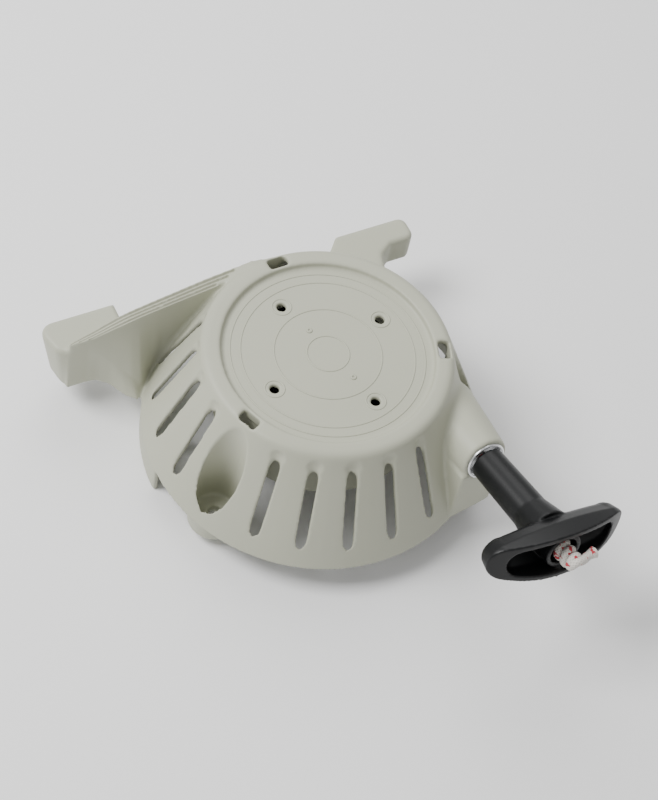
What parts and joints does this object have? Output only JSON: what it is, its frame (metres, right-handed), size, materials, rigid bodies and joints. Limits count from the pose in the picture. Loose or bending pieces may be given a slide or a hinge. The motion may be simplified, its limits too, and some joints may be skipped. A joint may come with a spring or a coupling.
{
  "type": "recoil starter",
  "caption": "Pull-rope recoil starter: vented dished cover with two ears and a rope outlet, T-shaped pull handle, and the wound reel, ratchets and return spring inside.",
  "frame": {"origin": "reel axis at the plane of the three mounting feet", "axes": "+Z along the reel axis, out of the cover's disc; +X along the back of the cover from the long wing to the short ear; +Y towards the back"},
  "size_m": [0.208, 0.2317, 0.0847],
  "materials": {
    "cover_plastic": "fine satin moulded, warm light grey",
    "grip_plastic": "satin black",
    "reel_nylon": "moulded nylon, dark grey",
    "zinc": "zinc plated",
    "spring_steel": "oiled spring steel",
    "rope": "braided, off-white with red flecks"
  },
  "bodies": {
    "housing": {"housing": "cover_plastic", "rope_guide": "zinc", "post_sleeve": "zinc", "spring_case": "zinc", "spring_cover": "zinc", "recoil_spring": "spring_steel", "thrust_washer": "zinc", "friction_spring": "spring_steel", "reel_screw": "zinc", "rope_run": "rope"},
    "reel": {"reel": "reel_nylon", "rope_coil": "rope", "rope_anchor": "rope", "ratchet_pin_a": "spring_steel", "ratchet_pin_b": "spring_steel", "ratchet_spring_a": "spring_steel", "ratchet_spring_b": "spring_steel"},
    "handle": {"handle_grip": "grip_plastic", "rope_knot": "rope"},
    "friction_plate": {"friction_plate": "zinc"},
    "ratchet_a": {"ratchet_a": "reel_nylon"},
    "ratchet_b": {"ratchet_b": "reel_nylon"}
  },
  "joints": [
    {"name": "handle_pull", "type": "slide", "parent": "housing", "child": "handle", "axis": [0.069, -0.9765, 0.2041], "range_m": [0, 0.65], "stiffness_N_per_m": 40, "springref_m": -0.5, "deforming": ["rope_run"]},
    {"name": "reel_spin", "type": "hinge", "parent": "housing", "child": "reel", "pos_m": [0, 0, 0.04977], "axis": [0, 0, -1], "range_deg": [0, 1275], "deforming": ["rope_coil", "recoil_spring"]},
    {"name": "friction_turn", "type": "hinge", "parent": "reel", "child": "friction_plate", "pos_m": [0, 0, 0.0384], "axis": [0, 0, 1], "range_deg": [0, 25], "stiffness_Nm_per_rad": 0.02, "springref_deg": -17.19},
    {"name": "ratchet_a_swing", "type": "hinge", "parent": "reel", "child": "ratchet_a", "pos_m": [-0.01406, 0.00764, 0.0417], "axis": [0, 0, 1], "range_deg": [0, 25]},
    {"name": "ratchet_b_swing", "type": "hinge", "parent": "reel", "child": "ratchet_b", "pos_m": [0.01406, -0.00764, 0.0417], "axis": [0, 0, 1], "range_deg": [0, 25]}
  ],
  "couplings": [
    {"joint": "reel_spin", "follows": "handle_pull", "rad_per_m": 34.1},
    {"joint": "ratchet_a_swing", "follows": "friction_turn", "ratio": 1},
    {"joint": "ratchet_b_swing", "follows": "friction_turn", "ratio": 1}
  ]
}
